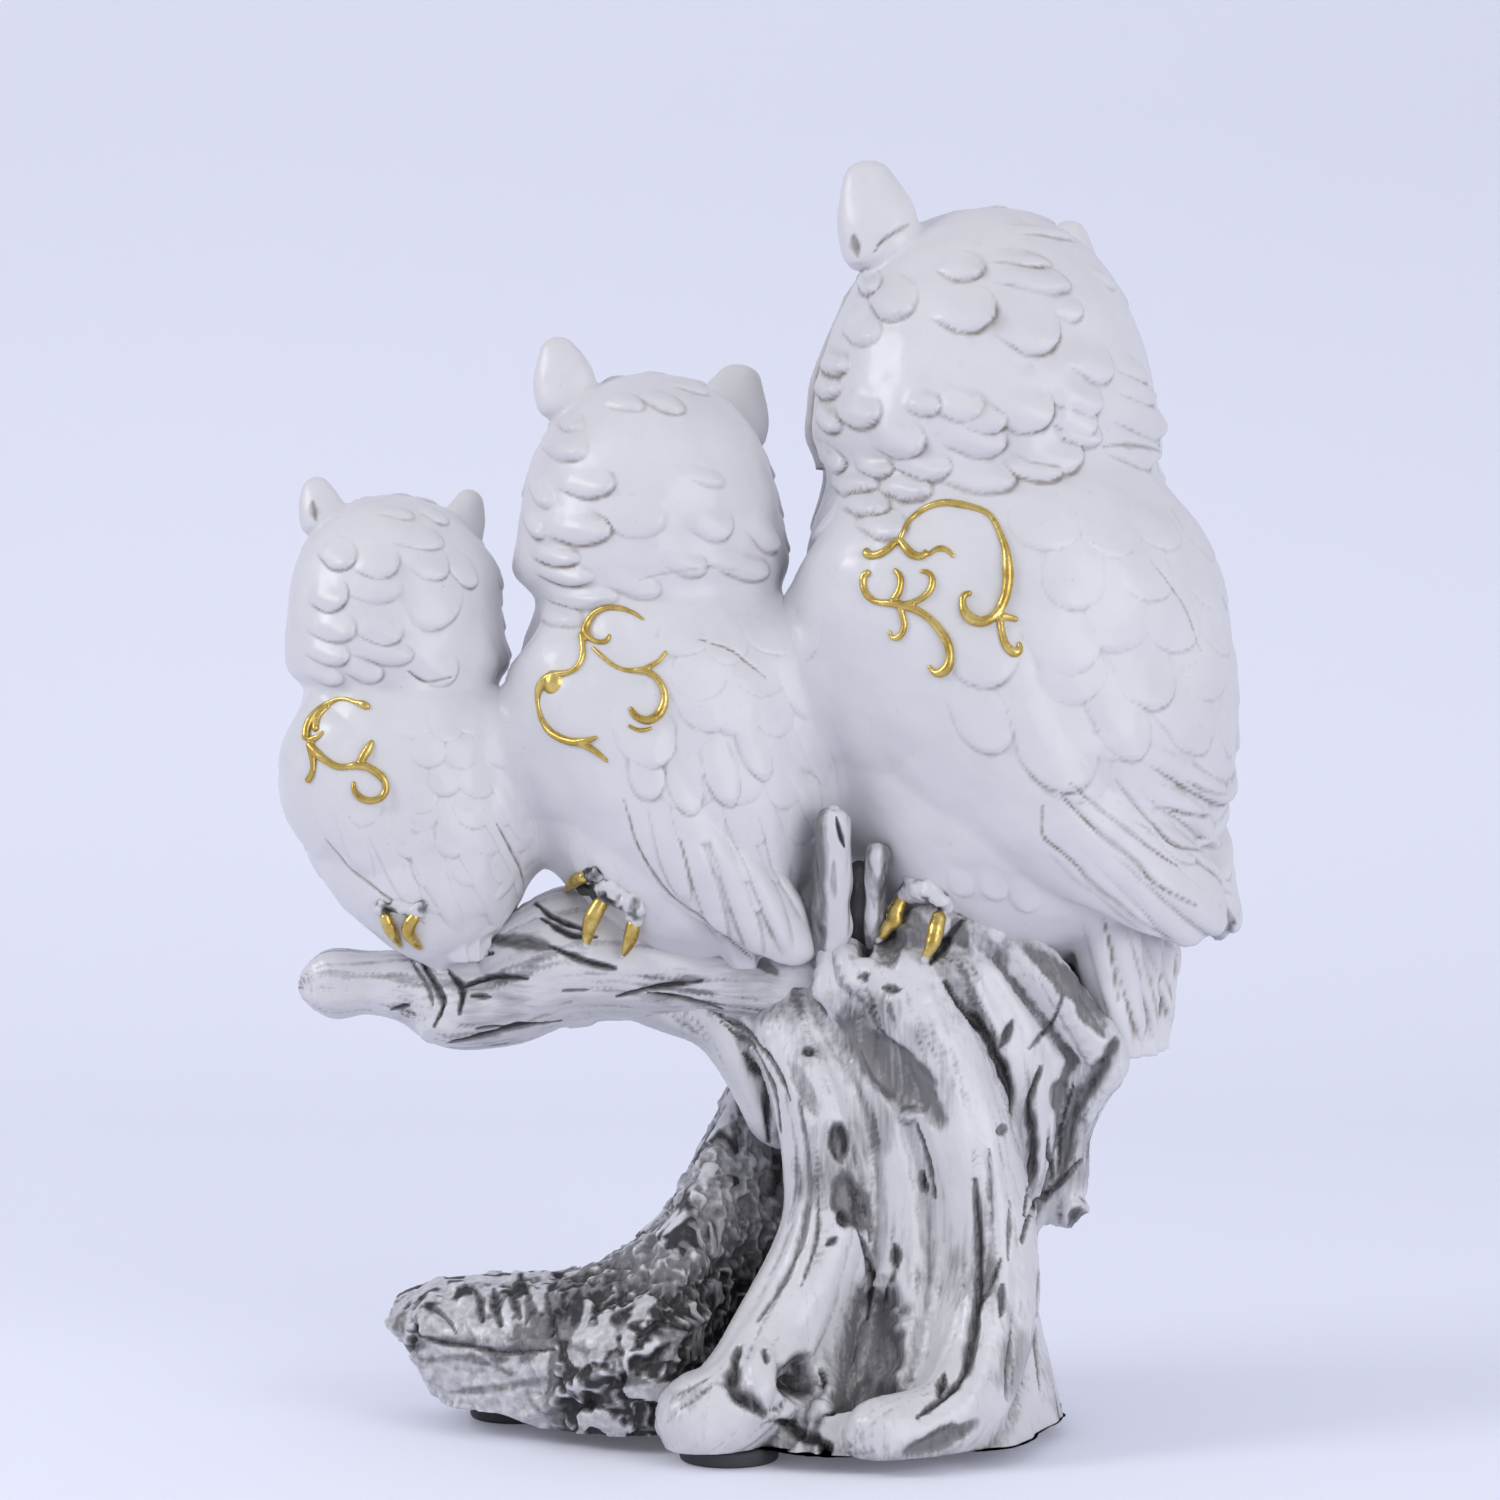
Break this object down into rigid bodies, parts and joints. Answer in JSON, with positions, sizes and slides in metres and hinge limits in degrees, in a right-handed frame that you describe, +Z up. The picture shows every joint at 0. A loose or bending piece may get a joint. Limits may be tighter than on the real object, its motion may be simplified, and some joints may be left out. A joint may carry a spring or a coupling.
{
  "type": "owl figurine",
  "caption": "Cast resin figurine of white owls in a row on a driftwood stump and branch, with gilded wing scrolls and claws, standing on rubber pads.",
  "frame": {"origin": "centre of the figurine's bounding box, on the surface that it stands on", "axes": "+X along the branch from its free end to the stump, +Y from the owls' backs to the side that their faces turn to, +Z up"},
  "size_m": [0.1908, 0.1016, 0.2517],
  "materials": {
    "white_resin": "satin white paint over cast resin, with a faint brown-grey wash in the feather creases",
    "washed_resin": "white paint over cast resin, with a dark grey antique wash left in the grain, satin",
    "gilt": "gold paint brushed on raised relief, satin",
    "rubber": "matt black"
  },
  "bodies": {
    "root": {"stump": "washed_resin", "branch": "washed_resin", "bark_log": "washed_resin", "tall_twig_stub": "washed_resin", "short_twig_stub": "washed_resin", "front_pad": "rubber", "left_pad": "rubber", "right_pad": "rubber", "rear_pad": "rubber", "large_owl": "white_resin", "large_owl_left_eye": "gilt", "large_owl_right_eye": "gilt", "large_owl_beak": "gilt", "large_owl_left_scroll_arch": "gilt", "large_owl_left_scroll_spray": "gilt", "large_owl_right_scroll_arch": "gilt", "large_owl_right_scroll_spray": "gilt", "large_owl_left_foot": "washed_resin", "large_owl_left_claw_1": "gilt", "large_owl_left_claw_2": "gilt", "large_owl_right_foot": "washed_resin", "large_owl_right_claw_1": "gilt", "large_owl_right_claw_2": "gilt", "middle_owl": "white_resin", "middle_owl_left_eye": "gilt", "middle_owl_right_eye": "gilt", "middle_owl_beak": "gilt", "middle_owl_left_scroll_spray": "gilt", "middle_owl_right_scroll_spray": "gilt", "middle_owl_left_foot": "washed_resin", "middle_owl_left_claw_1": "gilt", "middle_owl_left_claw_2": "gilt", "middle_owl_left_claw_3": "gilt", "middle_owl_right_foot": "washed_resin", "middle_owl_right_claw_1": "gilt", "middle_owl_right_claw_2": "gilt", "middle_owl_right_claw_3": "gilt", "small_owl": "white_resin", "small_owl_left_eye": "gilt", "small_owl_right_eye": "gilt", "small_owl_beak": "gilt", "small_owl_left_scroll_spray": "gilt", "small_owl_right_scroll_spray": "gilt", "small_owl_left_foot": "washed_resin", "small_owl_left_claw_1": "gilt", "small_owl_left_claw_2": "gilt", "small_owl_right_foot": "washed_resin", "small_owl_right_claw_1": "gilt", "small_owl_right_claw_2": "gilt"}
  },
  "joints": []
}
